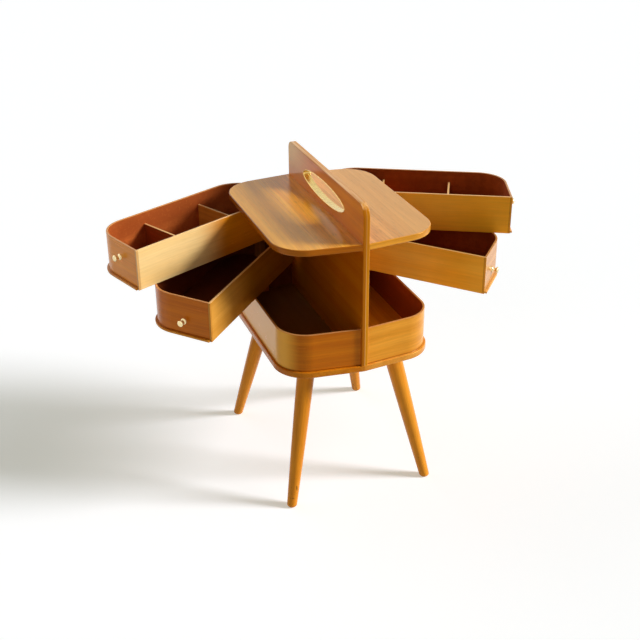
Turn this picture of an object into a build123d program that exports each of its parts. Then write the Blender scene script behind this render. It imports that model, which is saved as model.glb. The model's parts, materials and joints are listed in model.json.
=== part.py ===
import os
from math import cos, radians, sin, tan

from build123d import *

# Sewing box on four splayed legs: a base tray, and two trays a side that swing on an upright rod.
# Millimetres, +Z up, +X right, +Y to the back. The origin is on the floor under the middle of the
# opened box. The stand's own centre lies in front of it, because the trays reach out behind.
stand_y = -14

# Plan shared by the base board, the trays and the top: straight sides along the panel, and ends
# that fall back on both sides of a ridge on the centre line
half_width = 151
half_length = 196
end_slope = 6.73
corner_radius = 64

# Heights
leg_height = 277
board_thickness = 12
base_wall_height = 74
tray_height = 76
stack_gap = 0.8
handle_rise = 70.6

# Tray walls and floors
wall_thickness = 4
tray_floor_thickness = 4
lip = 4.6
flat_wall_x = 9
divider_thickness = 3.5
divider_height = 53
divider_y = {"front": -65, "rear": 70}

# Centre panel with its oval grip hole
panel_thickness = 12.5
panel_set_back = 0.5
panel_front_radius = 24
panel_rear_radius = 15
grip_length = 214
grip_height = 39
grip_drop = 39
liner_thickness = 1.8
liner_stand_out = 0.8

# Upright rods, by how far they are set in from the side and the rear ridge, and the posts round them
pivot_from_side = 74.5
pivot_from_ridge = 23
rod_radius = 2.5
rod_seat = 8
post_width = 24
post_front = 6
washer_radius = 6

# How far each tray stands open
opening_angle = {
    ("lower", "left"): 42.0,
    ("lower", "right"): 41.6,
    ("upper", "left"): 63.6,
    ("upper", "right"): 61.8,
}

# Legs, by how far the middle of the foot and of the top end are set in from the board's plan
foot_from_side = 10.5
foot_from_ridge = 17
leg_top_from_side = 67
leg_top_from_ridge = 77.4
leg_top_radius = 16.9
leg_foot_radius = 9.4
leg_swell = 0.8
foot_rounding = 5
leg_bolt_radius = 4
leg_bolt_in_leg = 35
leg_bolt_in_board = 8

# Turned knobs and their screws, set in from the trays' sides
knob_from_side = 85
knob_height = {"lower": 28, "upper": 46}
knob_length = 13
knob_base_radius = 5.8
knob_base_thickness = 2
knob_neck_radius = 3.2
knob_cap_radius = 5.9
knob_cap_thickness = 4
knob_rounding = 1.5
knob_screw_radius = 1.5
knob_screw_bite = 7
knob_screw_head_radius = 3.2
knob_screw_head_height = 1.6

# Dowels of the top and screws of the panel
dowel_radius = 4
dowel_spacing = 120
dowel_in_top = 22
panel_screw_radius = 2
panel_screw_head_radius = 4
panel_screw_head_height = 2.4
panel_screw_bite = 26
panel_screw_spacing = 130

# Clearances
fixed_fit = 0.05
running_fit = 0.08
washer_play = 0.1
floor_hole_play = 0.5

# Rounded edges
board_edge = 2
panel_edge = 1.5
lip_edge = 1
rim_edge = 0.7

# Levels of the stack, worked out from the heights
board_top = leg_height + board_thickness
base_rim = board_top + base_wall_height
tray_bottom = {"lower": base_rim + stack_gap}
tray_bottom["upper"] = tray_bottom["lower"] + tray_height + stack_gap
top_bottom = tray_bottom["upper"] + tray_height + stack_gap
panel_top = top_bottom + board_thickness + handle_rise

slope = radians(end_slope)
corner_y = half_length - half_width * tan(slope)
panel_face = panel_thickness / 2
sides = {"left": -1, "right": 1}

# Places in the plan, measured from the stand's centre
pivot_x = half_width - pivot_from_side
pivot_y = half_length - pivot_from_ridge
foot_x = half_width - foot_from_side
foot_y = half_length - foot_from_ridge
leg_top_x = half_width - leg_top_from_side
leg_top_y = half_length - leg_top_from_ridge
knob_x = half_width - knob_from_side


def save(piece, name):
    """Label one finished piece and write it under its name."""
    piece.part.label = name
    export_step(piece.part, f"parts/{name}.step")


def level(height):
    """Level plane at a height, centred on the stand."""
    return Plane(origin=(0, stand_y, height))


def swung(height, side, angle):
    """Level plane turned about a rod, on which a tray that stands open is drawn as if shut."""
    rod = Vector(side * pivot_x, pivot_y)
    centre = rod - rod.rotate(Axis.Z, side * angle)
    turn = radians(side * angle)
    origin = Vector(centre.X, centre.Y + stand_y, height)
    return Plane(origin=origin, x_dir=(cos(turn), sin(turn), 0), z_dir=(0, 0, 1))


def upright(height):
    """Upright plane along the middle of the panel, with its origin at a height, facing right."""
    return Plane(origin=(0, stand_y, height), x_dir=(0, 1, 0), z_dir=(1, 0, 0))


def outline(inset=0):
    """Shared plan, both halves, drawn in by inset."""
    with BuildSketch() as plan:
        with BuildLine():
            Polyline(
                (0, -half_length),
                (half_width, -corner_y),
                (half_width, corner_y),
                (0, half_length),
                (-half_width, corner_y),
                (-half_width, -corner_y),
                close=True,
            )
        make_face()
        across = plan.vertices().group_by(Axis.X)
        fillet(across[0] + across[-1], corner_radius)
        if inset:
            offset(amount=-inset, mode=Mode.REPLACE)
    return plan.sketch


def half_outline(inset, start, side):
    """Shared plan on one side of the panel, from x = start outwards."""
    with BuildSketch() as plan:
        add(outline(inset))
        with Locations((side * (start + half_width / 2), 0)):
            Rectangle(half_width, 2 * half_length, mode=Mode.INTERSECT)
    return plan.sketch


def bent_band(start, side):
    """U-shaped plan of a bent wall, which stands in from the board's edge by the lip."""
    with BuildSketch() as plan:
        add(half_outline(lip, start, side))
        add(half_outline(lip + wall_thickness, start, side), mode=Mode.SUBTRACT)
    return plan.sketch


def post_plan(side, bore_radius):
    """Plan of a rod's post: a block against the inside of the rear end wall, bored for the rod."""
    with BuildSketch() as plan:
        add(outline(lip + wall_thickness))
        with Locations((side * pivot_x, pivot_y - post_front)):
            Rectangle(post_width, half_length, align=(Align.CENTER, Align.MIN), mode=Mode.INTERSECT)
        with Locations((side * pivot_x, pivot_y)):
            Circle(bore_radius, mode=Mode.SUBTRACT)
    return plan.sketch


def long_rim_edges(piece):
    """Upper edges of a wall, without the short ones across its thickness."""
    return piece.edges().group_by(Axis.Z)[-1].filter_by(lambda edge: edge.length > 2 * wall_thickness)


def leg_head(across, along):
    """Middle of one leg's top end, against the underside of the base board."""
    return Vector(across * leg_top_x, stand_y + along * leg_top_y, leg_height)


def leg_plane(across, along):
    """Plane along one leg: its origin is at the foot, and local x runs up the leg's axis."""
    foot = Vector(across * foot_x, stand_y + along * foot_y, 0)
    up_the_leg = leg_head(across, along) - foot
    return Plane(origin=foot, x_dir=up_the_leg, z_dir=up_the_leg.cross(Vector(0, 0, 1)))


def leg_bolt_plane(across, along):
    """Plane square to one leg's axis where the axis meets the underside of the base board."""
    return Plane(origin=leg_head(across, along), z_dir=leg_plane(across, along).x_dir)


def knob_plane(tray_plane, side, height):
    """Plane along a knob's axis: local x points out of the front end wall, local y up."""
    face_y = -(half_length - knob_x * tan(slope) - lip / cos(slope))
    out = Vector(side * sin(slope), -cos(slope), 0)
    shut = Plane(origin=(side * knob_x, face_y, height), x_dir=out, z_dir=out.cross(Vector(0, 0, 1)))
    return Plane(tray_plane.location * shut.location)


os.makedirs("parts", exist_ok=True)

# Base board, with seats for the rods, bolts and panel screws
with BuildPart() as base_board:
    with BuildSketch(level(leg_height)):
        add(outline())
    extrude(amount=board_thickness)
    fillet(base_board.faces().filter_by(Axis.Z).edges(), board_edge)
    with BuildSketch(level(board_top)):
        with Locations((-pivot_x, pivot_y), (pivot_x, pivot_y)):
            Circle(rod_radius + fixed_fit)
    extrude(amount=-rod_seat, mode=Mode.SUBTRACT)
    with Locations(Plane(origin=(0, stand_y, leg_height), z_dir=(0, 0, -1))):
        with GridLocations(0, panel_screw_spacing, 1, 3):
            Cylinder(panel_screw_radius + fixed_fit, 2 * board_thickness, mode=Mode.SUBTRACT)
            Cone(
                panel_screw_radius + fixed_fit,
                panel_screw_head_radius + fixed_fit,
                panel_screw_head_height,
                align=(Align.CENTER, Align.CENTER, Align.MAX),
                mode=Mode.SUBTRACT,
            )
    for across in (-1, 1):
        for along in (-1, 1):
            with BuildSketch(leg_bolt_plane(across, along)):
                Circle(leg_bolt_radius + fixed_fit)
            extrude(amount=leg_bolt_in_board, both=True, mode=Mode.SUBTRACT)
save(base_board, "base_board")

# Bent walls of the base tray, which butt against the panel
for name, side in sides.items():
    with BuildPart() as base_wall:
        with BuildSketch(level(board_top)):
            add(bent_band(panel_face, side))
        extrude(amount=base_wall_height)
        fillet(long_rim_edges(base_wall), rim_edge)
    save(base_wall, f"base_wall_{name}")

# Centre panel, from the base board to above the top, with the grip hole through it
grip_plane = upright(panel_top - grip_drop)
dowel_plane = upright(top_bottom + board_thickness / 2)
with BuildPart() as centre_panel:
    with BuildSketch(upright(board_top)) as panel_outline:
        panel_length = 2 * (half_length - panel_set_back)
        Rectangle(panel_length, panel_top - board_top, align=(Align.CENTER, Align.MIN))
        for place, radius in ((0, panel_front_radius), (-1, panel_rear_radius)):
            fillet(panel_outline.vertices().group_by(Axis.Y)[-1].sort_by(Axis.X)[place], radius)
    extrude(amount=panel_face, both=True)
    face_edges = centre_panel.faces().filter_by(Axis.X).edges()
    fillet(face_edges - face_edges.group_by(Axis.Z)[0], panel_edge)
    with BuildSketch(grip_plane):
        Ellipse(grip_length / 2 + fixed_fit, grip_height / 2 + fixed_fit)
    extrude(amount=panel_thickness, both=True, mode=Mode.SUBTRACT)
    with BuildSketch(dowel_plane):
        with GridLocations(dowel_spacing, 0, 3, 1):
            Circle(dowel_radius + fixed_fit)
    extrude(amount=panel_thickness, both=True, mode=Mode.SUBTRACT)
    with BuildSketch(level(board_top)):
        with GridLocations(0, panel_screw_spacing, 1, 3):
            Circle(panel_screw_radius + fixed_fit)
    extrude(amount=panel_screw_bite, mode=Mode.SUBTRACT)
save(centre_panel, "centre_panel")

# Metal band that lines the grip hole and stands a little proud of both faces
with BuildPart() as grip_liner:
    with BuildSketch(grip_plane):
        Ellipse(grip_length / 2, grip_height / 2)
        Ellipse(grip_length / 2 - liner_thickness, grip_height / 2 - liner_thickness, mode=Mode.SUBTRACT)
    extrude(amount=panel_face + liner_stand_out, both=True)
    fillet(grip_liner.faces().filter_by(Axis.X).edges(), liner_stand_out / 2)
save(grip_liner, "grip_liner")

# Two halves of the top, doweled through the panel, each with a blind seat for its rod
for name, side in sides.items():
    with BuildPart() as top:
        with BuildSketch(level(top_bottom)):
            add(half_outline(0, panel_face, side))
        extrude(amount=board_thickness)
        rim_edges = top.faces().filter_by(Axis.Z).edges()
        fillet(rim_edges.filter_by(lambda edge: abs(edge.center().X) > panel_thickness), board_edge)
        with BuildSketch(level(top_bottom)):
            with Locations((side * pivot_x, pivot_y)):
                Circle(rod_radius + fixed_fit)
        extrude(amount=rod_seat, mode=Mode.SUBTRACT)
        with BuildSketch(dowel_plane):
            with GridLocations(dowel_spacing, 0, 3, 1):
                Circle(dowel_radius + fixed_fit)
        extrude(amount=side * (panel_face + dowel_in_top), mode=Mode.SUBTRACT)
    save(top, f"top_{name}")

# Dowels through the panel into both halves of the top
with BuildPart() as top_dowels:
    with BuildSketch(dowel_plane):
        with GridLocations(dowel_spacing, 0, 3, 1):
            Circle(dowel_radius)
    extrude(amount=panel_face + dowel_in_top - fixed_fit, both=True)
save(top_dowels, "top_dowels")

# Countersunk screws from under the base board into the foot of the panel
with BuildPart() as panel_screws:
    with BuildSketch(level(leg_height)):
        with GridLocations(0, panel_screw_spacing, 1, 3):
            Circle(panel_screw_radius)
    extrude(amount=board_thickness + panel_screw_bite - fixed_fit)
    with Locations(Plane(origin=(0, stand_y, leg_height), z_dir=(0, 0, -1))):
        with GridLocations(0, panel_screw_spacing, 1, 3):
            Cone(
                panel_screw_radius,
                panel_screw_head_radius,
                panel_screw_head_height,
                align=(Align.CENTER, Align.CENTER, Align.MAX),
            )
save(panel_screws, "panel_screws")

# Turned legs, tapered, with sides that swell a little half way up. They are cut level at the board and
# at the floor, with a rounded foot
for end, along in (("front", -1), ("rear", 1)):
    for name, across in sides.items():
        axis_plane = leg_plane(across, along)
        leg_length = (leg_head(across, along) - axis_plane.origin).length
        widening = (leg_top_radius - leg_foot_radius) / leg_length
        # Spare length past each end, which the level cuts take off
        overrun = leg_top_radius
        with BuildPart() as leg:
            with BuildSketch(axis_plane):
                with BuildLine():
                    foot_end = (-overrun, leg_foot_radius - widening * overrun)
                    middle = (leg_length / 2, (leg_foot_radius + leg_top_radius) / 2 + leg_swell)
                    head_end = (leg_length + overrun, leg_top_radius + widening * overrun)
                    ThreePointArc(foot_end, middle, head_end)
                    Polyline(head_end, (leg_length + overrun, 0), (-overrun, 0), foot_end)
                make_face()
            revolve(axis=Axis(axis_plane.origin, axis_plane.x_dir))
            split(bisect_by=Plane.XY.offset(leg_height), keep=Keep.BOTTOM)
            split(bisect_by=Plane.XY, keep=Keep.TOP)
            fillet(leg.edges().group_by(Axis.Z)[0], foot_rounding)
            with BuildSketch(leg_bolt_plane(across, along).offset(-leg_bolt_in_leg)):
                Circle(leg_bolt_radius + fixed_fit)
            extrude(amount=leg_bolt_in_leg + leg_top_radius, mode=Mode.SUBTRACT)
        save(leg, f"leg_{end}_{name}")

# Threaded studs that hold the legs to the base board
with BuildPart() as leg_bolts:
    for across in (-1, 1):
        for along in (-1, 1):
            with BuildSketch(leg_bolt_plane(across, along).offset(fixed_fit - leg_bolt_in_leg)):
                Circle(leg_bolt_radius)
            extrude(amount=leg_bolt_in_leg + leg_bolt_in_board - 2 * fixed_fit)
save(leg_bolts, "leg_bolts")

# Posts in the base tray and the rods that stand in them
for name, side in sides.items():
    with BuildPart() as base_post:
        with BuildSketch(level(board_top)):
            add(post_plan(side, rod_radius + fixed_fit))
        extrude(amount=base_wall_height)
    save(base_post, f"base_post_{name}")

    with BuildPart() as pivot_rod:
        with BuildSketch(level(board_top - rod_seat)):
            with Locations((side * pivot_x, pivot_y)):
                Circle(rod_radius)
        extrude(amount=top_bottom + rod_seat - (board_top - rod_seat))
    save(pivot_rod, f"pivot_rod_{name}")

# Washers on the rods, one in each gap of the stack
with BuildPart() as pivot_washers:
    for gap_bottom in (base_rim, tray_bottom["lower"] + tray_height, tray_bottom["upper"] + tray_height):
        with BuildSketch(level(gap_bottom + washer_play)):
            with Locations((-pivot_x, pivot_y), (pivot_x, pivot_y)):
                Circle(washer_radius)
                Circle(rod_radius + fixed_fit, mode=Mode.SUBTRACT)
        extrude(amount=stack_gap - 2 * washer_play)
save(pivot_washers, "pivot_washers")


def make_tray(row, name):
    """One swinging tray: floor, bent wall, flat wall, rod post, knob with its screw, and dividers."""
    side = sides[name]
    bottom = tray_bottom[row]
    angle = opening_angle[row, name]
    inner_x = flat_wall_x + wall_thickness
    floor_top = bottom + tray_floor_thickness
    wall_height = tray_height - tray_floor_thickness
    flat_plane = swung(bottom, side, angle)
    walls_plane = swung(floor_top, side, angle)
    out_plane = knob_plane(flat_plane, side, knob_height[row])
    out_axis = Axis(out_plane.origin, out_plane.x_dir)

    def shut_x(edge):
        """Distance of an edge from the panel's middle when the tray is shut."""
        return side * flat_plane.to_local_coords(edge.center()).X

    with BuildPart() as floor:
        with BuildSketch(flat_plane):
            add(half_outline(0, inner_x, side))
        extrude(amount=tray_floor_thickness)
        rim_edges = floor.faces().filter_by(Axis.Z).edges()
        fillet(rim_edges.filter_by(lambda edge: shut_x(edge) > inner_x + lip), lip_edge)
        with BuildSketch(flat_plane):
            with Locations((side * pivot_x, pivot_y)):
                Circle(rod_radius + floor_hole_play)
        extrude(amount=tray_floor_thickness, mode=Mode.SUBTRACT)
    save(floor, f"{row}_{name}_floor")

    with BuildPart() as bent_wall:
        with BuildSketch(walls_plane):
            add(bent_band(inner_x, side))
        extrude(amount=wall_height)
        fillet(long_rim_edges(bent_wall), rim_edge)
        with BuildSketch(Plane(origin=out_plane.origin, z_dir=out_plane.x_dir)):
            Circle(knob_screw_radius + fixed_fit)
        extrude(amount=2 * wall_thickness, both=True, mode=Mode.SUBTRACT)
    save(bent_wall, f"{row}_{name}_bent_wall")

    with BuildPart() as flat_wall:
        with BuildSketch(flat_plane):
            add(half_outline(lip, flat_wall_x, side))
            add(half_outline(lip, inner_x, side), mode=Mode.SUBTRACT)
        extrude(amount=tray_height)
        fillet(long_rim_edges(flat_wall), rim_edge)
    save(flat_wall, f"{row}_{name}_flat_wall")

    with BuildPart() as pivot_post:
        with BuildSketch(walls_plane):
            add(post_plan(side, rod_radius + running_fit))
        extrude(amount=wall_height)
    save(pivot_post, f"{row}_{name}_pivot_post")

    with BuildPart() as knob:
        with BuildSketch(out_plane):
            Rectangle(knob_base_thickness, knob_base_radius, align=Align.MIN)
            Rectangle(knob_length, knob_neck_radius, align=Align.MIN)
            with Locations((knob_length - knob_cap_thickness, 0)):
                Rectangle(knob_cap_thickness, knob_cap_radius, align=Align.MIN)
        revolve(axis=out_axis)
        fillet(knob.edges().filter_by(GeomType.CIRCLE).sort_by(out_axis)[-1:], knob_rounding)
        with BuildSketch(Plane(origin=out_plane.origin, z_dir=out_plane.x_dir)):
            Circle(knob_screw_radius + fixed_fit)
        extrude(amount=knob_screw_bite + fixed_fit, mode=Mode.SUBTRACT)
    save(knob, f"{row}_{name}_knob")

    with BuildPart() as knob_screw:
        with BuildSketch(out_plane):
            with Locations((-wall_thickness, 0)):
                Rectangle(wall_thickness + knob_screw_bite, knob_screw_radius, align=Align.MIN)
                Rectangle(knob_screw_head_height, knob_screw_head_radius, align=(Align.MAX, Align.MIN))
        revolve(axis=out_axis)
    save(knob_screw, f"{row}_{name}_knob_screw")

    if row == "upper":
        outer_x = half_width - lip - wall_thickness
        for place, along in divider_y.items():
            with BuildPart() as divider:
                with BuildSketch(walls_plane):
                    with Locations((side * (inner_x + outer_x) / 2, along)):
                        Rectangle(outer_x - inner_x, divider_thickness)
                extrude(amount=divider_height - tray_floor_thickness)
            save(divider, f"{row}_{name}_divider_{place}")


for row in tray_bottom:
    for name in sides:
        make_tray(row, name)
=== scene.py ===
import json
from math import cos, pi, radians, sin, tan

import bmesh
import bpy
import numpy as np
from mathutils import Matrix, Vector


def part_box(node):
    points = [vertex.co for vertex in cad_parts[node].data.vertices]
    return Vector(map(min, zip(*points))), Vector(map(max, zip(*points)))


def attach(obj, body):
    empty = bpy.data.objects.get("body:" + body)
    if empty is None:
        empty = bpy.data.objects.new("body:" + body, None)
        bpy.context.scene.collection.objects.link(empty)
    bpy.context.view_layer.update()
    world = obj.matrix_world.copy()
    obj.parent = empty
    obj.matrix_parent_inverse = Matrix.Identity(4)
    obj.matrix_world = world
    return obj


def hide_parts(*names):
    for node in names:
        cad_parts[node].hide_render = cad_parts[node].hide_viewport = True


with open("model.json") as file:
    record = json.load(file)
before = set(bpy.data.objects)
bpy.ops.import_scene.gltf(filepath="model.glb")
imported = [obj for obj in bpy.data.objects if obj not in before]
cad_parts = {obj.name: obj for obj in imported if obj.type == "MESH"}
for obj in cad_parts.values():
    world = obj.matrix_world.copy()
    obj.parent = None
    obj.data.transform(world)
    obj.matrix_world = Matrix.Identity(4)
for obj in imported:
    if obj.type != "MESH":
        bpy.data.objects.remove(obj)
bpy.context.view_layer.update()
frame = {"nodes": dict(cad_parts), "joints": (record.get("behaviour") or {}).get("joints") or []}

# Base board: the flat board that carries the whole box, cut to a plan with large round corners and ends
# that fall back from a ridge. Veneered plywood, varnished, with softly rounded edges. Between the walls
# its upper face is the floor of the base tray, which is rubbed dull. The left half is deeper in tone
# and
# its floor there much darker: painted shade.
board_low, board_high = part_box("base_board")
half_width = (board_high.x - board_low.x) / 2
half_length = (board_high.y - board_low.y) / 2
stand_y = (board_high.y + board_low.y) / 2
end_slope = radians(6.73)
corner_radius = 0.064


def paint(red, green, blue):
    """Linear colour from the eight-bit values of a paint chart."""
    share = np.array([red, green, blue]) / 255
    linear = np.where(share <= 0.04045, share / 12.92, ((share + 0.055) / 1.055) ** 2.4)
    return (*linear.tolist(), 1)


def put(tree, kind, *inputs, **settings):
    """Adds a shader node with its settings. Each input in turn is a socket, a value, or None to leave
    it alone."""
    node = tree.nodes.new(kind)
    for key, value in settings.items():
        setattr(node, key, value)
    for slot, value in zip(node.inputs, inputs):
        if isinstance(value, bpy.types.NodeSocket):
            tree.links.new(value, slot)
        elif value is not None:
            slot.default_value = value
    return node


def sum_of(tree, operation, first, second=0.0, third=None):
    """One step of arithmetic on one, two or three values."""
    return put(tree, "ShaderNodeMath", first, second, third, operation=operation).outputs[0]


def gap(tree, first, second):
    """Distance between two values: the size of their difference."""
    return sum_of(tree, "ABSOLUTE", sum_of(tree, "SUBTRACT", first, second))


def ease(tree, value, low, high):
    """Smooth step from 0 at low to 1 at high; it falls instead where low is above high."""
    up = low < high
    ends = (low, high, 0.0, 1.0) if up else (high, low, 1.0, 0.0)
    return put(tree, "ShaderNodeMapRange", value, *ends, interpolation_type="SMOOTHSTEP").outputs[0]


def blend(tree, share, first, second, way="MIX"):
    """Mix of two colours by a share."""
    node = put(tree, "ShaderNodeMix", share, data_type="RGBA", blend_type=way)
    for slot, value in zip(node.inputs[6:8], (first, second)):
        if isinstance(value, bpy.types.NodeSocket):
            tree.links.new(value, slot)
        else:
            slot.default_value = value
    return node.outputs[2]


def tinted(tree, mask, strength, colour, tone):
    """Colour with a tone over it. The tone's share is the mask times the strength."""
    return blend(tree, sum_of(tree, "MULTIPLY", mask, strength), colour, tone)


def cloud(tree, spot, scale, detail=2.0, roughness=0.5):
    """Soft noise from 0 to 1; scale is how many swells there are to a metre."""
    return put(tree, "ShaderNodeTexNoise", spot, None, scale, detail, roughness).outputs[0]


def squeezed(tree, spot, shares):
    """The point with each coordinate multiplied by its share. A small share draws noise out along
    that coordinate."""
    return put(tree, "ShaderNodeVectorMath", spot, shares, operation="MULTIPLY").outputs[0]


def coordinate(tree, place, axis):
    """A point's coordinate on the axis "X", "Y" or "Z"."""
    return put(tree, "ShaderNodeSeparateXYZ", place).outputs[axis]


def new_finish(name, swing=None):
    """Empty material with its shader, and the point on the shut box, measured from the stand's centre.

    swing is (rod, angle): a tray's own points are turned back about its rod by the angle at which it
    stands open, so that the grain follows the tray's boards.
    """
    finish = bpy.data.materials.new(name)
    finish.use_nodes = True
    tree = finish.node_tree
    spot = tree.nodes.new("ShaderNodeTexCoord").outputs["Object"]
    centre = Vector((0, stand_y, 0))
    rod, angle = swing or (centre, 0)
    back = Matrix.Rotation(-angle, 3, "Z")
    place = put(tree, "ShaderNodeMapping", spot, rod - centre - back @ rod, (0, 0, -angle)).outputs[0]
    return finish, tree, tree.nodes["Principled BSDF"], place


def plan_depth(tree, place):
    """How far a point lies in from the box's plan: the least distance to the long side, the sloping
    end and the round corner. u and v are how far the point is past the lines through the arc's centre.
    Between the arc's two ends, they give the distance to that centre by the law of cosines, and the
    depth is the radius less that."""
    part = put(tree, "ShaderNodeSeparateXYZ", place)
    across = sum_of(tree, "ABSOLUTE", part.outputs[0])
    along = sum_of(tree, "ABSOLUTE", part.outputs[1])
    from_side = sum_of(tree, "SUBTRACT", half_width, across)
    fall = sum_of(tree, "MULTIPLY_ADD", across, tan(end_slope), along)
    from_end = sum_of(tree, "MULTIPLY", sum_of(tree, "SUBTRACT", half_length, fall), cos(end_slope))
    u = sum_of(tree, "SUBTRACT", corner_radius, from_side)
    v = sum_of(tree, "SUBTRACT", corner_radius, from_end)
    squares = sum_of(tree, "MULTIPLY_ADD", u, u, sum_of(tree, "MULTIPLY", v, v))
    cross = sum_of(tree, "MULTIPLY", sum_of(tree, "MULTIPLY", u, v), 2 * sin(end_slope))
    spread = sum_of(tree, "SQRT", sum_of(tree, "SUBTRACT", squares, cross))
    in_corner = sum_of(tree, "SUBTRACT", corner_radius, sum_of(tree, "DIVIDE", spread, cos(end_slope)))
    nearest = sum_of(tree, "MINIMUM", from_side, from_end)
    past_side = sum_of(tree, "GREATER_THAN", u, sum_of(tree, "MULTIPLY", v, sin(end_slope)))
    past_end = sum_of(tree, "GREATER_THAN", v, sum_of(tree, "MULTIPLY", u, sin(end_slope)))
    arc = sum_of(tree, "MINIMUM", past_side, past_end)
    away = sum_of(tree, "SUBTRACT", 1.0, arc)
    return sum_of(tree, "MULTIPLY_ADD", in_corner, arc, sum_of(tree, "MULTIPLY", nearest, away))


grain_stretch = 0.03
pore_stretch = 3 * grain_stretch
grain_wander = 0.006
fibres_to_metre = 300
pores_to_metre = 640


def timber(tree, place, pale, deep, run, bands=46, fibre=0.10, pores=0.06, patina=0.25, lean=0.0):
    """Colour and relief of planed wood. Noise stretched along the grain gives broad bands and fine
    fibres, short stretched noise cut at a threshold gives the pores, and plain noise the patina. The
    bands mix the two tones, and the mix is multiplied by a shade: 1, a little more or less by the
    fibres and the patina, and less in the pores.

    run is the grain's direction: 0 for X, 1 for Y, 2 for Z, or "round" for level grain in an upright
    wall. bands is how many to a metre. fibre, pores and patina are how much each changes the shade,
    and lean moves the grain, so that no two boards are alike.
    """
    bend = cloud(tree, place, 5, 1)
    moved = sum_of(tree, "MULTIPLY_ADD", bend, grain_wander, lean)
    drift = put(tree, "ShaderNodeCombineXYZ", moved, moved, moved).outputs[0]
    wavy = put(tree, "ShaderNodeVectorMath", place, drift, operation="ADD").outputs[0]
    run_axes = (0, 1) if run == "round" else (run,)
    grain, short = (squeezed(tree, wavy, [stretch if axis in run_axes else 1.0 for axis in range(3)])
                    for stretch in (grain_stretch, pore_stretch))
    band = ease(tree, cloud(tree, grain, bands, 3, 0.6), 0.30, 0.70)
    fine = cloud(tree, grain, fibres_to_metre, 4, 0.65)
    fibres = ease(tree, fine, 0.34, 0.66)
    pore = ease(tree, cloud(tree, short, pores_to_metre, 2), 0.54, 0.70)
    old = ease(tree, cloud(tree, place, 9, 3), 0.30, 0.75)
    shade = sum_of(tree, "MULTIPLY_ADD", fibres, fibre, 1 - 0.5 * fibre)
    shade = sum_of(tree, "MULTIPLY_ADD", pore, -pores, shade)
    shade = sum_of(tree, "MULTIPLY_ADD", old, -0.5 * patina, sum_of(tree, "ADD", shade, 0.25 * patina))
    grey = put(tree, "ShaderNodeCombineXYZ", shade, shade, shade).outputs[0]
    colour = blend(tree, 1.0, blend(tree, band, deep, pale), grey, "MULTIPLY")
    relief = sum_of(tree, "MULTIPLY_ADD", pore, -0.5, fine)
    return colour, relief


amber = paint(255, 194, 100)
varnish_index = 1.52
film_share = 0.10
stain_roughness = 0.45
relief_depth = 0.00006


def varnish(tree, shader, place, colour, relief, rough=0.25, dull=0.0, shine=0.5):
    """Satin amber varnish over wood: the colour, a reflection that is amber straight on and pale at a
    low angle, a fine relief, and a roughness. This is rough, the middle value, moved up or down a
    little by the fibres and by a thin film of handling.

    dull is the share from 0 to 1 of a rubbed stain in place of varnish, which is much rougher, and
    shine the reflection's strength, 0.5 for a full coat.
    """
    shader.inputs["Specular Tint"].default_value = amber
    shader.inputs["Specular IOR Level"].default_value = shine
    shader.inputs["IOR"].default_value = varnish_index
    tree.links.new(colour, shader.inputs["Base Color"])
    film = cloud(tree, place, 34, 3, 0.6)
    total = sum_of(tree, "MULTIPLY_ADD", relief, film_share, rough - film_share)
    total = sum_of(tree, "MULTIPLY_ADD", dull, stain_roughness, total)
    total = sum_of(tree, "MULTIPLY_ADD", film, film_share, total)
    tree.links.new(total, shader.inputs["Roughness"])
    bump = put(tree, "ShaderNodeBump", 0.5, relief_depth)
    tree.links.new(relief, bump.inputs["Height"])
    tree.links.new(bump.outputs[0], shader.inputs["Normal"])


def dress(node, finish):
    """Gives a CAD node its finish in every slot."""
    for place in frame["nodes"][node].material_slots:
        place.material = finish


board_plies = 5
board_glue_line = (0.10, 0.04)
board_skin = (0.0010, 0.0005)
glue_strength = 0.35


def board_edge(tree, place, low, high, colour, dark):
    """Thin darker glue lines round a plywood board's edge: a line wherever the height, counted in plies
    from the underside, is close to a whole number, and only within a millimetre of the plan."""
    height = sum_of(tree, "SUBTRACT", coordinate(tree, place, "Z"), low)
    ply = sum_of(tree, "DIVIDE", height, (high - low) / board_plies)
    line = ease(tree, gap(tree, ply, sum_of(tree, "ROUND", ply)), *board_glue_line)
    outer = ease(tree, plan_depth(tree, place), *board_skin)
    return tinted(tree, sum_of(tree, "MULTIPLY", line, outer), glue_strength, colour, dark)


# The left half takes deeper tones than the right: painted shade, on the side away from the light.
base_tones = {
    "left": (paint(208, 124, 16), paint(192, 104, 8)),
    "right": (paint(226, 154, 58), paint(210, 134, 42)),
}
base_floor_pale = paint(196, 134, 20)
base_floor_deep = paint(174, 112, 10)
base_floor_shade = paint(88, 44, 8)
base_floor_shade_strength = 0.85
glue = paint(104, 52, 12)
shade_left_from = (0.010, -0.010)
base_floor_depth = (0.0060, 0.0075)
base_floor_level = (board_low.z + 0.008, board_low.z + 0.011)
finish, tree, shader, place = new_finish("base_board_varnish")
shade_to_left = ease(tree, coordinate(tree, place, "X"), *shade_left_from)
pale, deep = (blend(tree, shade_to_left, right, left) for left, right in zip(*base_tones.values()))
colour, relief = timber(tree, place, pale, deep, 1)
floor_colour, _ = timber(tree, place, base_floor_pale, base_floor_deep, 1, bands=60)
inner = ease(tree, plan_depth(tree, place), *base_floor_depth)
above = ease(tree, coordinate(tree, place, "Z"), *base_floor_level)
# Painted shade: the base tray's floor is much darker on the left.
floor_colour = tinted(tree, shade_to_left, base_floor_shade_strength, floor_colour, base_floor_shade)
on_floor = sum_of(tree, "MULTIPLY", inner, above)
colour = blend(tree, on_floor, colour, floor_colour)
colour = board_edge(tree, place, board_low.z, board_high.z, colour, glue)
varnish(tree, shader, place, colour, relief, dull=on_floor)
dress("base_board", finish)

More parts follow.
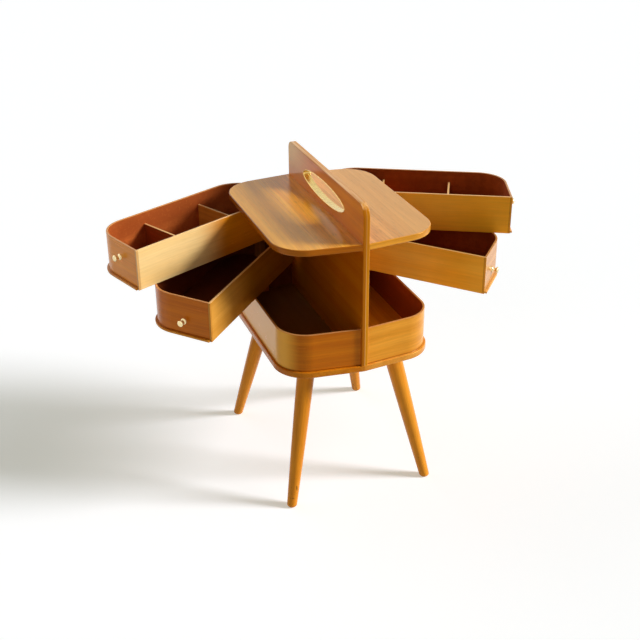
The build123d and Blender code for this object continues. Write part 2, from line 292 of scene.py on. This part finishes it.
# Legs: four turned beech legs, tapered to a rounded foot, screwed on threaded studs into the board.
# Varnished a little deeper than the boards, and scuffed near the floor, where the front left leg also
# has a small nick. The studs are plain steel.
leg_pale = paint(232, 150, 40)
leg_deep = paint(212, 128, 24)
scuff = paint(92, 48, 14)
scuffed_below = (0.085, 0.01)
scuff_strength = 0.60
nick_strength = 0.85
nick_at = Vector((-0.1302, -0.1813, 0.0410))
nick_half_width = 0.0016
nick_slimness = 0.18
leg_foot_at = (0.1405, 0.179)
leg_head_at = (0.084, 0.1186)
sheen_change = 0.16
worn_tint_share = 0.72
brush_lines_to_metre = 2600


def metal(name, tint, rough, brushed):
    """Bare metal with a faint uneven sheen and a slightly darker tint in worn patches. rough is its
    middle roughness, and brushed the depth of its fine level lines."""
    finish, tree, shader, place = new_finish(name)
    uneven = cloud(tree, place, 220, 2)
    shader.inputs["Metallic"].default_value = 1.0
    sheen = sum_of(tree, "MULTIPLY_ADD", uneven, sheen_change, rough - sheen_change / 2)
    tree.links.new(sheen, shader.inputs["Roughness"])
    worn = ease(tree, cloud(tree, place, 90, 3), 0.4, 0.75)
    worn_tint = (*[worn_tint_share * share for share in tint[:3]], 1)
    tree.links.new(tinted(tree, worn, 0.5, tint, worn_tint), shader.inputs["Base Color"])
    bump = put(tree, "ShaderNodeBump", 0.4, brushed)
    lines = cloud(tree, squeezed(tree, place, (0.1, 0.1, 1)), brush_lines_to_metre, 1)
    tree.links.new(lines, bump.inputs["Height"])
    tree.links.new(bump.outputs[0], shader.inputs["Normal"])
    return finish


for along, end in ((-1, "front"), (1, "rear")):
    for across, side in ((-1, "left"), (1, "right")):
        name = f"leg_{end}_{side}"
        lean_x = across * (leg_head_at[0] - leg_foot_at[0])
        lean_y = along * (leg_head_at[1] - leg_foot_at[1])
        rise = Vector((lean_x, lean_y, board_low.z)).normalized()
        finish, tree, shader, place = new_finish(f"{name}_varnish")
        upright = rise.rotation_difference(Vector((0, 0, 1))).to_euler()
        straight = put(tree, "ShaderNodeMapping", place, None, tuple(upright)).outputs[0]
        colour, relief = timber(tree, straight, leg_pale, leg_deep, 2, bands=70, fibre=0.12)
        worn = ease(tree, cloud(tree, straight, 210, 3, 0.7), 0.58, 0.66)
        near_floor = ease(tree, coordinate(tree, place, "Z"), *scuffed_below)
        worn_low = sum_of(tree, "MULTIPLY", worn, near_floor)
        colour = tinted(tree, worn_low, scuff_strength, colour, scuff)
        if name == "leg_front_left":
            off_nick = put(tree, "ShaderNodeVectorMath", place, nick_at, operation="SUBTRACT")
            slim = squeezed(tree, off_nick.outputs[0], (1, 1, nick_slimness))
            away = put(tree, "ShaderNodeVectorMath", slim, operation="LENGTH").outputs["Value"]
            dent = ease(tree, away, nick_half_width, 0.6 * nick_half_width)
            colour = tinted(tree, dent, nick_strength, colour, scuff)
        varnish(tree, shader, place, colour, relief)
        dress(name, finish)

steel = metal("bright_steel", paint(196, 194, 188), 0.30, 0.00005)
dress("leg_bolts", steel)

# Walls of the base tray: two strips of bent plywood, glued to the board a little in from its edge,
# whose ends butt against the centre panel. Level grain outside, reddish mahogany stain inside, bare
# rims. The left wall is deeper in tone than the right: painted shade. Each is paler along its long
# side, the left one much more: painted light and sheen. A thin line of painted shade runs along the
# foot.
wall_lip = 0.0046
wall_thickness = 0.004
wall_plies = 3
wall_glue_line = (0.12, 0.05)
stained_from = (wall_lip + wall_thickness - 0.0010, wall_lip + wall_thickness - 0.0004)
long_side_from = (half_width - 0.036, half_width - 0.008)
# A thin line of painted shade in the crease along a wall's foot.
foot_shade_line = (0.0026, 0.0006)
foot_shade_strength = 0.6
stain_pale = paint(132, 58, 22)
stain_deep = paint(106, 40, 12)
rim_tone = paint(246, 196, 128)
bent_rim_tone = paint(212, 150, 92)
# Pale tone of painted light and sheen along a wall's long side.
flank_painted_light = paint(250, 186, 66)
patch_strength = 0.55
rubbed_strength = 0.30
varnish_on_rim = 0.25


def bare_rim(tree, place, rim, skin=0.0006):
    """1 on a wall's sawn upper edge, whose height is rim, and down from it to the skin's depth. It
    falls to 0 at twice that depth."""
    return ease(tree, coordinate(tree, place, "Z"), rim - 2 * skin, rim - skin)


def stained(tree, place, pale, deep, lean):
    """Blotchy hand-rubbed stain on wood with level grain: the wood, with soft clouds of the deep tone
    and small pale rubbed spots over it."""
    colour, _ = timber(tree, place, pale, deep, "round", bands=22, fibre=0.07, patina=0.5, lean=lean)
    patch = ease(tree, cloud(tree, place, 62, 5, 0.7), 0.42, 0.62)
    colour = tinted(tree, patch, patch_strength, colour, deep)
    rubbed = ease(tree, cloud(tree, place, 170, 3, 0.7), 0.56, 0.70)
    return tinted(tree, rubbed, rubbed_strength, colour, pale)


def wall_finish(name, outer_tones, stain, foot, rim, swing=None, lean=0.0, side_light_share=0.0):
    """Bent wall: varnished outside, stained on its inner face, with glue lines on its bare rim and a
    thin dark line of painted shade along its foot. foot and rim are the heights of its lower and upper
    edge, and side_light_share is how much painted light and sheen its long side takes."""
    finish, tree, shader, place = new_finish(name, swing)
    outside, relief = timber(tree, place, *outer_tones, "round", bands=90, fibre=0.12, lean=lean)
    across = sum_of(tree, "ABSOLUTE", coordinate(tree, place, "X"))
    painted_side_share = ease(tree, across, *long_side_from)
    outside = tinted(tree, painted_side_share, side_light_share, outside, flank_painted_light)
    inside = stained(tree, place, *stain, lean + 0.4)
    depth = plan_depth(tree, place)
    inner = ease(tree, depth, *stained_from)
    colour = blend(tree, inner, outside, inside)
    ply = sum_of(tree, "DIVIDE", sum_of(tree, "SUBTRACT", depth, wall_lip), wall_thickness / wall_plies)
    line = ease(tree, gap(tree, ply, sum_of(tree, "ROUND", ply)), *wall_glue_line)
    edge = tinted(tree, line, glue_strength, bent_rim_tone, glue)
    edge = blend(tree, varnish_on_rim, edge, outside)
    colour = blend(tree, bare_rim(tree, place, rim), colour, edge)
    # Painted shade along the foot, where the wall meets the floor.
    shade_at_foot = ease(tree, coordinate(tree, place, "Z"), *(foot + rise for rise in foot_shade_line))
    colour = tinted(tree, shade_at_foot, foot_shade_strength, colour, glue)
    varnish(tree, shader, place, colour, relief, dull=inner)
    return finish


# The left wall's deeper tones are painted shade, on the side away from the light.
base_wall_tones = {
    "left": (paint(198, 108, 8), paint(180, 90, 3)),
    "right": (paint(226, 152, 46), paint(212, 136, 32)),
}
# How much painted light and sheen each base wall's long side takes.
side_painted_light = {"left": 0.85, "right": 0.25}
base_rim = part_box("base_wall_left")[1].z
for side, tones in base_wall_tones.items():
    finish = wall_finish(f"base_wall_{side}_varnish", tones, (stain_pale, stain_deep), board_high.z,
                         base_rim, side_light_share=side_painted_light[side])
    dress(f"base_wall_{side}", finish)

# Posts and rods: on each side a wooden block stands in the rear of the base tray, and a steel rod rises
# from it to the top. The trays turn on the rods, with a thin steel washer in each gap of the stack.
post_pale = paint(190, 114, 50)
post_deep = paint(160, 86, 34)
finish, tree, shader, place = new_finish("post_varnish")
varnish(tree, shader, place, *timber(tree, place, post_pale, post_deep, 2, bands=80))
dress("base_post_left", finish)
dress("base_post_right", finish)
for name in ("pivot_rod_left", "pivot_rod_right", "pivot_washers"):
    dress(name, steel)

# Centre panel: one upright board from end to end, screwed to the base board from below. It carries the
# top, and its upper corners are round. Its edges show a paler strip on the right and a deeper one on
# the left, painted light and shade, growing darker towards the top: painted shade. The left face is
# deeper
# in tone, most of all below the top: painted shade. Both faces are paler near the rear upper corner: a
# painted reflection.
_, panel_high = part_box("centre_panel")
panel_half = panel_high.x
# The left face's deeper tones are painted shade.
panel_tones = {
    "left": (paint(230, 134, 8), paint(212, 112, 4)),
    "right": (paint(232, 162, 72), paint(214, 140, 52)),
}
# Edge strips: the right one paler and the left one deeper, painted light and shade.
panel_strip_lit = paint(214, 136, 20)
panel_strip_shaded = paint(176, 100, 8)
panel_top_edge = paint(250, 198, 136)
panel_under_top_shade = paint(160, 78, 4)
panel_painted_sheen = paint(252, 208, 132)
panel_left_from = (0.001, -0.001)
light_shade_split = (-0.0002, 0.0002)
under_top_shade_below = (0.530, 0.500)
under_top_shade_strength = 0.55
sheen_behind = (0.05, 0.19)
sheen_above = (0.52, 0.59)
sheen_strength = 0.85
edge_shade_above = (0.40, 0.54)
edge_shade_strength = 0.45
middle_line = (0.0007, 0.0003)
middle_line_strength = 0.6
top_edge_from = (panel_high.z - 0.010, panel_high.z - 0.004)
edge_from = (panel_half - 0.0004, panel_half - 0.0012)

finish, tree, shader, place = new_finish("centre_panel_varnish")
across, along, level = put(tree, "ShaderNodeSeparateXYZ", place).outputs
shade_on_left = ease(tree, across, *panel_left_from)
pale, deep = (blend(tree, shade_on_left, right, left) for left, right in zip(*panel_tones.values()))
colour, relief = timber(tree, place, pale, deep, 1, bands=40, fibre=0.07, pores=0.03)
# Painted shade: the left face darker below the top.
under_top_shade = sum_of(tree, "MULTIPLY", ease(tree, level, *under_top_shade_below), shade_on_left)
colour = tinted(tree, under_top_shade, under_top_shade_strength, colour, panel_under_top_shade)
# Painted reflection: both faces paler near the rear upper corner.
sheen_share = sum_of(tree, "MULTIPLY", ease(tree, along, *sheen_behind), ease(tree, level, *sheen_above))
colour = tinted(tree, sheen_share, sheen_strength, colour, panel_painted_sheen)
# The edge's right and left halves take the painted light and shade tones.
strips = blend(tree, ease(tree, across, *light_shade_split), panel_strip_shaded, panel_strip_lit)
off_middle = sum_of(tree, "ABSOLUTE", across)
on_line = ease(tree, off_middle, *middle_line)
strips = tinted(tree, on_line, middle_line_strength, strips, rim_tone)
edge_wood, _ = timber(tree, place, panel_top_edge, panel_strip_lit, 1, bands=200)
# Painted shade: the edge darker towards the top.
edge_shaded = ease(tree, level, *edge_shade_above)
strips = tinted(tree, edge_shaded, edge_shade_strength, strips, panel_strip_shaded)
strips = blend(tree, ease(tree, level, *top_edge_from), strips, edge_wood)
on_edge = ease(tree, off_middle, *edge_from)
colour = blend(tree, on_edge, colour, strips)
varnish(tree, shader, place, colour, relief, rough=0.16, shine=0.18)
dress("centre_panel", finish)
dress("panel_screws", steel)

# Grip liner: a strip of brass bent into an oval and pressed into the grip hole. Both its rims are
# rolled over into a round bead that covers the hole's edge, and between them it is dished. It is
# slightly tarnished.
brass_tint = paint(228, 200, 124)
brass = metal("satin_brass", brass_tint, 0.26, 0.00003)
grip_low, grip_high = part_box("grip_liner")
bead_radius = 0.0009
bead_inset = 0.0004
bead_steps = 13
band_inset = 0.0009
band_half = 0.0044
dish_slope = 0.0009
dish_overlap = 0.0003
oval_steps = 256
same_point = 1e-6


def oval_band(profile, steps):
    """Profile carried round an upright oval. At each angle the point on the ellipse is moved inwards
    along the ellipse's normal by the profile's second value, and along X by its first."""
    angle = np.linspace(0, 2 * pi, steps, endpoint=False)
    long, tall = (grip_high.y - grip_low.y) / 2, (grip_high.z - grip_low.z) / 2
    normal = np.stack([np.cos(angle) / long, np.sin(angle) / tall])
    normal /= np.linalg.norm(normal, axis=0)
    across, inward = profile[:, :1], profile[:, 1:]
    y = (grip_high.y + grip_low.y) / 2 + long * np.cos(angle) - inward * normal[0]
    z = (grip_high.z + grip_low.z) / 2 + tall * np.sin(angle) - inward * normal[1]
    return np.stack([across + 0 * angle, y, z], -1).reshape(-1, 3)


def grid_faces(rows, columns, closed=False):
    """Quads between neighbouring rows of points, where the last column joins the first, and, if closed,
    the last row joins the first too."""
    first_rows = np.arange(rows if closed else rows - 1)
    row, column = np.meshgrid(first_rows, np.arange(columns), indexing="ij")
    here, below = row * columns, (row + 1) % rows * columns
    after = (column + 1) % columns
    return np.stack([here + column, here + after, below + after, below + column], -1).reshape(-1, 4)


def new_piece(name, points, faces, finish, body, place=Matrix.Identity(4)):
    """Mesh object at the origin with its place in its mesh: doubled points merged, faces turned
    outwards, smooth, with its finish and body."""
    mesh = bpy.data.meshes.new(name)
    mesh.from_pydata(points.tolist(), [], faces.tolist())
    shape = bmesh.new()
    shape.from_mesh(mesh)
    bmesh.ops.remove_doubles(shape, verts=shape.verts, dist=same_point)
    bmesh.ops.recalc_face_normals(shape, faces=shape.faces)
    shape.to_mesh(mesh)
    shape.free()
    mesh.transform(place)
    mesh.materials.append(finish)
    mesh.shade_smooth()
    piece = bpy.data.objects.new(name, mesh)
    bpy.context.scene.collection.objects.link(piece)
    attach(piece, body)
    return piece


roll = np.linspace(0, pi, bead_steps)
bead = np.stack([panel_half + bead_radius * np.sin(roll), bead_inset - bead_radius * np.cos(roll)], 1)
dish = np.array([(band_half + dish_slope, bead_inset + bead_radius - dish_overlap),
                 (band_half, band_inset)])
right_half = np.concatenate([[(0, 0), (panel_half, 0)], bead, dish])
left_half = right_half[::-1] * (-1, 1)
liner_profile = np.concatenate([right_half, left_half[:-1]])
liner = new_piece("rolled_grip_liner", oval_band(liner_profile, oval_steps),
                  grid_faces(len(liner_profile), oval_steps, closed=True), brass, "stand")
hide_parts("grip_liner")

# Top: two halves of veneered board, one each side of the panel, joined through it by dowels. Each is
# veneered with two strips that meet in a seam half way out, with straight grain along the panel. The
# halves differ in tone partly as painted light and shade, the left half lying in the panel's shadow,
# and the left half's edge is much deeper: painted shade.
top_low, top_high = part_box("top_left")
seam_x = 0.0762
seam_line = (0.0010, 0.0002)
seam_strength = 0.30
outer_strip_shift = 0.37
outer_strip_paleness = 0.45
top_edge_depth = (0.0020, 0.0008)
# Tones by side, partly painted light and shade for the left half in the panel's shadow.
top_tones = {
    "left": (paint(250, 178, 54), paint(224, 142, 28)),
    "right": (paint(230, 168, 84), paint(208, 144, 62)),
}
# The left edge's deeper tones are painted shade.
top_edge_light_shade_tones = {
    "left": (paint(175, 93, 6), paint(151, 73, 3)),
    "right": (paint(230, 156, 48), paint(206, 134, 32)),
}
for side, tones in top_tones.items():
    finish, tree, shader, place = new_finish(f"top_{side}_varnish")
    across = sum_of(tree, "ABSOLUTE", coordinate(tree, place, "X"))
    outer = sum_of(tree, "GREATER_THAN", across, seam_x)
    shift_along = sum_of(tree, "MULTIPLY", outer, outer_strip_shift)
    shift = put(tree, "ShaderNodeCombineXYZ", 0.0, shift_along, outer).outputs[0]
    strip = put(tree, "ShaderNodeVectorMath", place, shift, operation="ADD").outputs[0]
    colour, relief = timber(tree, strip, *tones, 1, bands=110, fibre=0.22, pores=0.20, patina=0.15)
    colour = tinted(tree, outer, outer_strip_paleness, colour, tones[0])
    seam = ease(tree, gap(tree, across, seam_x), *seam_line)
    colour = tinted(tree, seam, seam_strength, colour, rim_tone)
    edge_tone, _ = timber(tree, place, *top_edge_light_shade_tones[side], "round", bands=240)
    edge = ease(tree, plan_depth(tree, place), *top_edge_depth)
    colour = blend(tree, edge, colour, edge_tone)
    colour = board_edge(tree, place, top_low.z, top_high.z, colour, glue)
    varnish(tree, shader, place, colour, relief, rough=0.23)
    dress(f"top_{side}", finish)

finish, tree, shader, place = new_finish("dowel_wood")
varnish(tree, shader, place, *timber(tree, place, post_pale, post_deep, 0, bands=160), rough=0.6)
dress("top_dowels", finish)

# Swinging trays: two a side, each a plywood floor with a small lip, a bent wall on it, a flat wall
# along the panel and a post bored for the rod. The upper trays also have two dividers. A flat wall's
# tones pass from "flat" to "flat_rear_light_shade" over "change", a stretch of the shut tray's length
# in
# metres: painted shade toward the rear of the left trays, painted light toward the rear of the right
# ones. Some tones differ from tray to tray or side to side as painted light and shade too: the lower
# left tray's wall, the left lips and the front dividers are deeper, the rear dividers paler.
tray_tones = {
    "upper_left": {
        "flat": (paint(249, 212, 146), paint(243, 198, 124)),
        "flat_rear_light_shade": (paint(218, 132, 13), paint(200, 113, 8)),
        "change": (-0.06, 0.03),
        "wall": (paint(240, 146, 10), paint(226, 128, 6)),
        "stain": (paint(202, 108, 48), paint(154, 70, 28)),
    },
    "lower_left": {
        "flat": (paint(217, 156, 66), paint(203, 139, 51)),
        "flat_rear_light_shade": (paint(166, 110, 12), paint(146, 92, 8)),
        # Deeper wall tone, partly painted shade: the lower tray lies beneath the upper one.
        "change": (-0.12, 0.00),
        "wall": (paint(204, 106, 6), paint(186, 88, 3)),
        "stain": (stain_pale, stain_deep),
    },
    "upper_right": {
        "flat": (paint(254, 176, 40), paint(250, 164, 30)),
        "flat_rear_light_shade": (paint(254, 182, 52), paint(250, 170, 42)),
        "change": (-0.14, 0.00),
        "wall": (paint(226, 160, 90), paint(210, 142, 72)),
        "stain": (paint(172, 76, 26), paint(138, 50, 13)),
    },
    "lower_right": {
        "flat": (paint(250, 184, 56), paint(240, 168, 42)),
        "flat_rear_light_shade": (paint(252, 214, 96), paint(246, 198, 80)),
        "change": (-0.14, 0.00),
        "wall": (paint(208, 146, 74), paint(190, 126, 54)),
        "stain": (paint(172, 78, 28), paint(136, 50, 13)),
    },
}
flat_inner_face = 0.013
flat_stained_from = (flat_inner_face - 0.0004, flat_inner_face - 0.0001)
end_strip = wall_lip + wall_thickness
end_strip_from = (end_strip + 0.0002, end_strip - 0.0002)
end_grain_strength = 0.5
end_joint_line = (0.0008, 0.0003)
end_joint_strength = 0.4
varnish_on_flat_rim = 0.3
tray_floor_depth = (wall_lip + 0.001, wall_lip + 0.002)
tray_floor_level = (0.002, 0.0035)
lean_step = 0.7
end_grain = paint(190, 118, 36)
# The left lips' deeper tones are painted shade, on the side away from the light.
lip_tones = {
    "left": (paint(224, 148, 44), paint(208, 130, 30)),
    "right": (paint(240, 184, 100), paint(226, 164, 80)),
}
# On faces turned alike, the front divider's dark tone is painted shade and the rear one's golden tone
# painted light.
divider_tones = {
    "front": (paint(150, 70, 26), paint(124, 48, 14)),
    "rear": (paint(216, 144, 52), paint(192, 118, 34)),
}


def tray_swing(tray):
    """Rod and angle at which a tray stands open, from its joint: the shut end of its range, turned
    back."""
    joint = next(each for each in frame["joints"] if each["child"] == f"{tray}_tray")
    rod = Vector((joint["pos_m"][0], joint["pos_m"][1], 0))
    return rod, radians(-joint["range_deg"][0]) * joint["axis"][2]


for number, (tray, tones) in enumerate(tray_tones.items()):
    row, side = tray.split("_")
    swing = tray_swing(tray)
    lean = lean_step * (number + 1)
    floor_low, floor_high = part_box(f"{tray}_floor")
    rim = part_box(f"{tray}_bent_wall")[1].z

    bent = wall_finish(f"{tray}_bent_wall_varnish", tones["wall"], tones["stain"], floor_high.z, rim,
                       swing, lean)
    dress(f"{tray}_bent_wall", bent)

    finish, tree, shader, place = new_finish(f"{tray}_flat_wall_varnish", swing)
    # Painted light and shade along the flat wall: deeper toward the rear of the left trays, paler
    # toward the rear of the right ones.
    rear_light_shade = ease(tree, coordinate(tree, place, "Y"), *tones["change"])
    pale, deep = (blend(tree, rear_light_shade, *pair) for pair in zip(tones["flat"], tones["flat_rear_light_shade"]))
    outside, relief = timber(tree, place, pale, deep, 1, bands=30, fibre=0.08, pores=0.03, lean=lean)
    inside = stained(tree, place, *tones["stain"], lean)
    across = sum_of(tree, "ABSOLUTE", coordinate(tree, place, "X"))
    inner = ease(tree, across, *flat_stained_from)
    depth = plan_depth(tree, place)
    at_end = ease(tree, depth, *end_strip_from)
    outside = tinted(tree, at_end, end_grain_strength, outside, end_grain)
    end_joint = ease(tree, gap(tree, depth, end_strip), *end_joint_line)
    outside = tinted(tree, end_joint, end_joint_strength, outside, glue)
    colour = blend(tree, inner, outside, inside)
    edge = blend(tree, varnish_on_flat_rim, rim_tone, outside)
    colour = blend(tree, bare_rim(tree, place, rim), colour, edge)
    varnish(tree, shader, place, colour, relief, dull=inner)
    dress(f"{tray}_flat_wall", finish)

    finish, tree, shader, place = new_finish(f"{tray}_floor_varnish", swing)
    outside, relief = timber(tree, place, *lip_tones[side], 1, bands=50, lean=lean)
    inside = stained(tree, place, *tones["stain"], lean + 0.2)
    inner = ease(tree, plan_depth(tree, place), *tray_floor_depth)
    above = ease(tree, coordinate(tree, place, "Z"), *(floor_low.z + rise for rise in tray_floor_level))
    on_floor = sum_of(tree, "MULTIPLY", inner, above)
    colour = blend(tree, on_floor, outside, inside)
    varnish(tree, shader, place, colour, relief, dull=on_floor)
    dress(f"{tray}_floor", finish)

    finish, tree, shader, place = new_finish(f"{tray}_post_varnish", swing)
    varnish(tree, shader, place, *timber(tree, place, post_pale, post_deep, 2, bands=80, lean=lean))
    dress(f"{tray}_pivot_post", finish)

    if row == "upper":
        for end, wood in divider_tones.items():
            finish, tree, shader, place = new_finish(f"{tray}_divider_{end}_varnish", swing)
            colour, relief = timber(tree, place, *wood, 0, bands=60, lean=lean)
            divider_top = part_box(f"{tray}_divider_{end}")[1].z
            colour = blend(tree, bare_rim(tree, place, divider_top, skin=0.0004), colour, rim_tone)
            varnish(tree, shader, place, colour, relief, dull=0.5)
            dress(f"{tray}_divider_{end}", finish)

# Knobs: turned brass, one in the front end wall of each tray, with a rose at the foot, a waisted neck
# and a round cap with a shallow dimple. A smooth curve through the profile's points is turned about
# the axis.
knob_inset = 0.085
knob_rise = {"lower": 0.028, "upper": 0.046}
knob_profile = 0.001 * np.array([
    (0.0, 0.0), (0.0, 5.5), (0.4, 5.8), (1.3, 5.8), (1.9, 5.3), (2.3, 4.2), (3.4, 3.4), (5.2, 3.1),
    (7.3, 3.2), (8.5, 3.8), (9.1, 4.8), (9.8, 5.7), (10.8, 5.9), (11.9, 5.7), (12.7, 4.9),
    (13.0, 3.6), (12.8, 1.6), (12.5, 0.0),
])
knob_curve_steps = 3
knob_turn_steps = 48


def knob_place(tray):
    """Matrix that carries local Z out of a tray's front end wall, from the foot of its knob."""
    side = -1 if tray.endswith("left") else 1
    row = tray.split("_")[0]
    x = half_width - knob_inset
    face = half_length - x * tan(end_slope) - wall_lip / cos(end_slope)
    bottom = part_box(f"{tray}_floor")[0].z
    shut = Vector((side * x, stand_y - face, bottom + knob_rise[row]))
    rod, angle = tray_swing(tray)
    turned_out = Matrix.Translation(rod) @ Matrix.Rotation(angle, 4, "Z") @ Matrix.Translation(-rod)
    out = Vector((side * sin(end_slope), -cos(end_slope), 0))
    return turned_out @ Matrix.Translation(shut) @ out.to_track_quat("Z", "X").to_matrix().to_4x4()


def turned(profile, steps):
    """Surface of revolution about Z: each profile point (height, radius) is carried round by the
    angle."""
    angle = np.linspace(0, 2 * pi, steps, endpoint=False)
    height, radius = profile[:, :1], profile[:, 1:]
    rings = [radius * np.cos(angle), radius * np.sin(angle), height + 0 * angle]
    return np.stack(rings, -1).reshape(-1, 3)


def smooth_profile(points, steps):
    """Catmull-Rom curve: each span between two points is the cubic whose slope at either end is half
    the chord between that end's neighbours. Radii stay at or above zero."""
    outer = np.concatenate([points[:1], points, points[-1:]])
    before, first, last, after = outer[:-3, None], outer[1:-2, None], outer[2:-1, None], outer[3:, None]
    t = np.linspace(0, 1, steps, endpoint=False)[None, :, None]
    rise, fall = (last - before) / 2, (after - first) / 2
    curve = first + rise * t + (3 * (last - first) - 2 * rise - fall) * t ** 2
    curve = (curve + (2 * (first - last) + rise + fall) * t ** 3).reshape(-1, 2)
    return np.concatenate([np.maximum(curve, (-1, 0)), points[-1:]])


pale_brass = metal("pale_brass", paint(236, 216, 164), 0.26, 0.00003)
profile = smooth_profile(knob_profile, knob_curve_steps)
knob_points = turned(profile, knob_turn_steps)
knob_faces = grid_faces(len(profile), knob_turn_steps)
for tray in tray_tones:
    knob = new_piece(f"{tray}_turned_knob", knob_points, knob_faces, pale_brass, f"{tray}_tray",
                     knob_place(tray))
    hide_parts(f"{tray}_knob")

# Knob screws: steel screws with a slotted domed head, driven through the end wall from inside the tray
# into the knob. The head's grid runs along the slot, so that the slot's walls are straight.
screw_radius = 0.0014
screw_reach = 0.0065
head_radius = 0.0032
head_height = 0.0016
slot_half = 0.00045
slot_depth = 0.0009
head_chords = 28
head_rows = 25
shank_steps = 24


def slotted_head(columns, rows):
    """Domed disc with a slot along Y. x takes the column's place and y its share of the chord there.
    The height is an ellipse's over the distance from the middle, cut down to the slot's floor near
    x = 0. A flat sheet at its foot closes the dome."""
    x = np.sort(np.concatenate([np.linspace(-head_radius, head_radius, columns),
                                slot_half * np.array([-1.1, -1, 1, 1.1])]))[:, None]
    y = np.linspace(-1, 1, rows) * np.sqrt(np.maximum(head_radius ** 2 - x ** 2, 0))
    share = np.clip((x ** 2 + y ** 2) / head_radius ** 2, 0, 1)
    dome = head_height * np.sqrt(1 - share)
    floor = np.where(np.abs(x) <= slot_half * 1.01, head_height - slot_depth, head_height)
    sheets = [np.stack([x + 0 * y, y, -height], -1) for height in (np.minimum(dome, floor), 0 * dome)]
    return np.concatenate(sheets).reshape(-1, 3), len(x)


def sheet_faces(rows, columns):
    """Quads between neighbouring points of an open grid."""
    row, column = np.meshgrid(np.arange(rows - 1), np.arange(columns - 1), indexing="ij")
    first = row * columns + column
    return np.stack([first, first + 1, first + columns + 1, first + columns], -1).reshape(-1, 4)


head, head_columns = slotted_head(head_chords, head_rows)
dome_faces = sheet_faces(head_columns, head_rows)
shank_length = wall_thickness + screw_reach
shank_profile = np.array([(0, 0), (0, screw_radius), (shank_length, screw_radius), (shank_length, 0)])
screw_points = np.concatenate([head, turned(shank_profile, shank_steps)])
shank_faces = grid_faces(len(shank_profile), shank_steps) + len(head)
screw_faces = np.concatenate([dome_faces, dome_faces + len(head) // 2, shank_faces])
for tray in tray_tones:
    inside_wall = knob_place(tray) @ Matrix.Translation((0, 0, -wall_thickness))
    screw = new_piece(f"{tray}_slotted_screw", screw_points, screw_faces, steel, f"{tray}_tray",
                      inside_wall)
    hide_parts(f"{tray}_knob_screw")

# Studio: a plain pale floor under a white sky, and the camera at the photograph's angle. Daylight comes
# from a window on the right and weakly from its upper part. Two wide lights stand for the pale backdrop
# at the rear left and the room at the front left.
floor_tone = paint(208, 208, 206)
floor_seen = paint(232, 233, 242)
floor_glow = (0.985, 1.0, 0.83, 1)
floor_lift = 0.355
floor_reach = 30
lamps = {
    "window_light": {"from": (0.823, -0.343, 0.452), "strength": 3.75, "spread": radians(16)},
    "window_top_light": {"from": (0.588, -0.245, 0.770), "strength": 0.30, "spread": radians(20)},
    "backdrop_light": {"from": (-0.60, 0.70, 0.40), "strength": 0.65, "spread": radians(60)},
    "room_light": {"from": (-0.60, -0.76, 0.26), "strength": 0.48, "spread": radians(60)},
}
sky_strength = 0.06
camera_at = Vector((-0.674353, -1.782724, 1.268258))
camera_turn, camera_dip, camera_roll = radians(-20.482), radians(27.352), radians(0.343)
focal_length = 60.72
film_width = 36
clip_range = (0.05, 100)


def seen_share(tree):
    """1 for a ray that shows the studio itself, straight or by way of metal or varnish, and 0 for the
    light that it throws on the box: the greatest of the camera, glossy and transmission rays' flags."""
    rays = tree.nodes.new("ShaderNodeLightPath")
    seen = sum_of(tree, "MAXIMUM", rays.outputs["Is Camera Ray"], rays.outputs["Is Glossy Ray"])
    return sum_of(tree, "MAXIMUM", seen, rays.outputs["Is Transmission Ray"])


floor_mesh = bpy.data.meshes.new("studio_floor")
corners = [(-floor_reach, -floor_reach, 0), (floor_reach, -floor_reach, 0),
           (floor_reach, floor_reach, 0), (-floor_reach, floor_reach, 0)]
floor_mesh.from_pydata(corners, [], [(0, 1, 2, 3)])
floor = bpy.data.objects.new("studio_floor", floor_mesh)
bpy.context.scene.collection.objects.link(floor)
floor_paint = bpy.data.materials.new("studio_floor")
floor_paint.use_nodes = True
tree = floor_paint.node_tree
tree.nodes.clear()
seen = seen_share(tree)
glow = put(tree, "ShaderNodeEmission", floor_glow, sum_of(tree, "MULTIPLY", seen, floor_lift))
matt = put(tree, "ShaderNodeBsdfDiffuse", blend(tree, seen, floor_tone, floor_seen))
both = put(tree, "ShaderNodeAddShader", matt.outputs[0], glow.outputs[0])
put(tree, "ShaderNodeOutputMaterial", both.outputs[0])
floor_mesh.materials.append(floor_paint)

world = bpy.data.worlds.new("studio_sky")
bpy.context.scene.world = world
world.use_nodes = True
tree = world.node_tree
tree.nodes.clear()
strength = sum_of(tree, "MULTIPLY_ADD", seen_share(tree), 1 - sky_strength, sky_strength)
sky = put(tree, "ShaderNodeBackground", (1, 1, 1, 1), strength)
put(tree, "ShaderNodeOutputWorld", sky.outputs[0])

for name, given in lamps.items():
    lamp = bpy.data.lights.new(name, "SUN")
    lamp.energy = given["strength"]
    lamp.angle = given["spread"]
    sun = bpy.data.objects.new(name, lamp)
    sun.rotation_euler = Vector(given["from"]).to_track_quat("Z", "Y").to_euler()
    bpy.context.scene.collection.objects.link(sun)

lens = bpy.data.cameras.new("camera")
lens.lens = focal_length
lens.sensor_width = film_width
lens.clip_start, lens.clip_end = clip_range
camera = bpy.data.objects.new("camera", lens)
bpy.context.scene.collection.objects.link(camera)
aim = Matrix.Rotation(camera_turn, 4, "Z") @ Matrix.Rotation(pi / 2 - camera_dip, 4, "X")
camera.matrix_world = Matrix.Translation(camera_at) @ aim @ Matrix.Rotation(-camera_roll, 4, "Z")
bpy.context.scene.camera = camera
bpy.context.scene.view_settings.view_transform = "Standard"
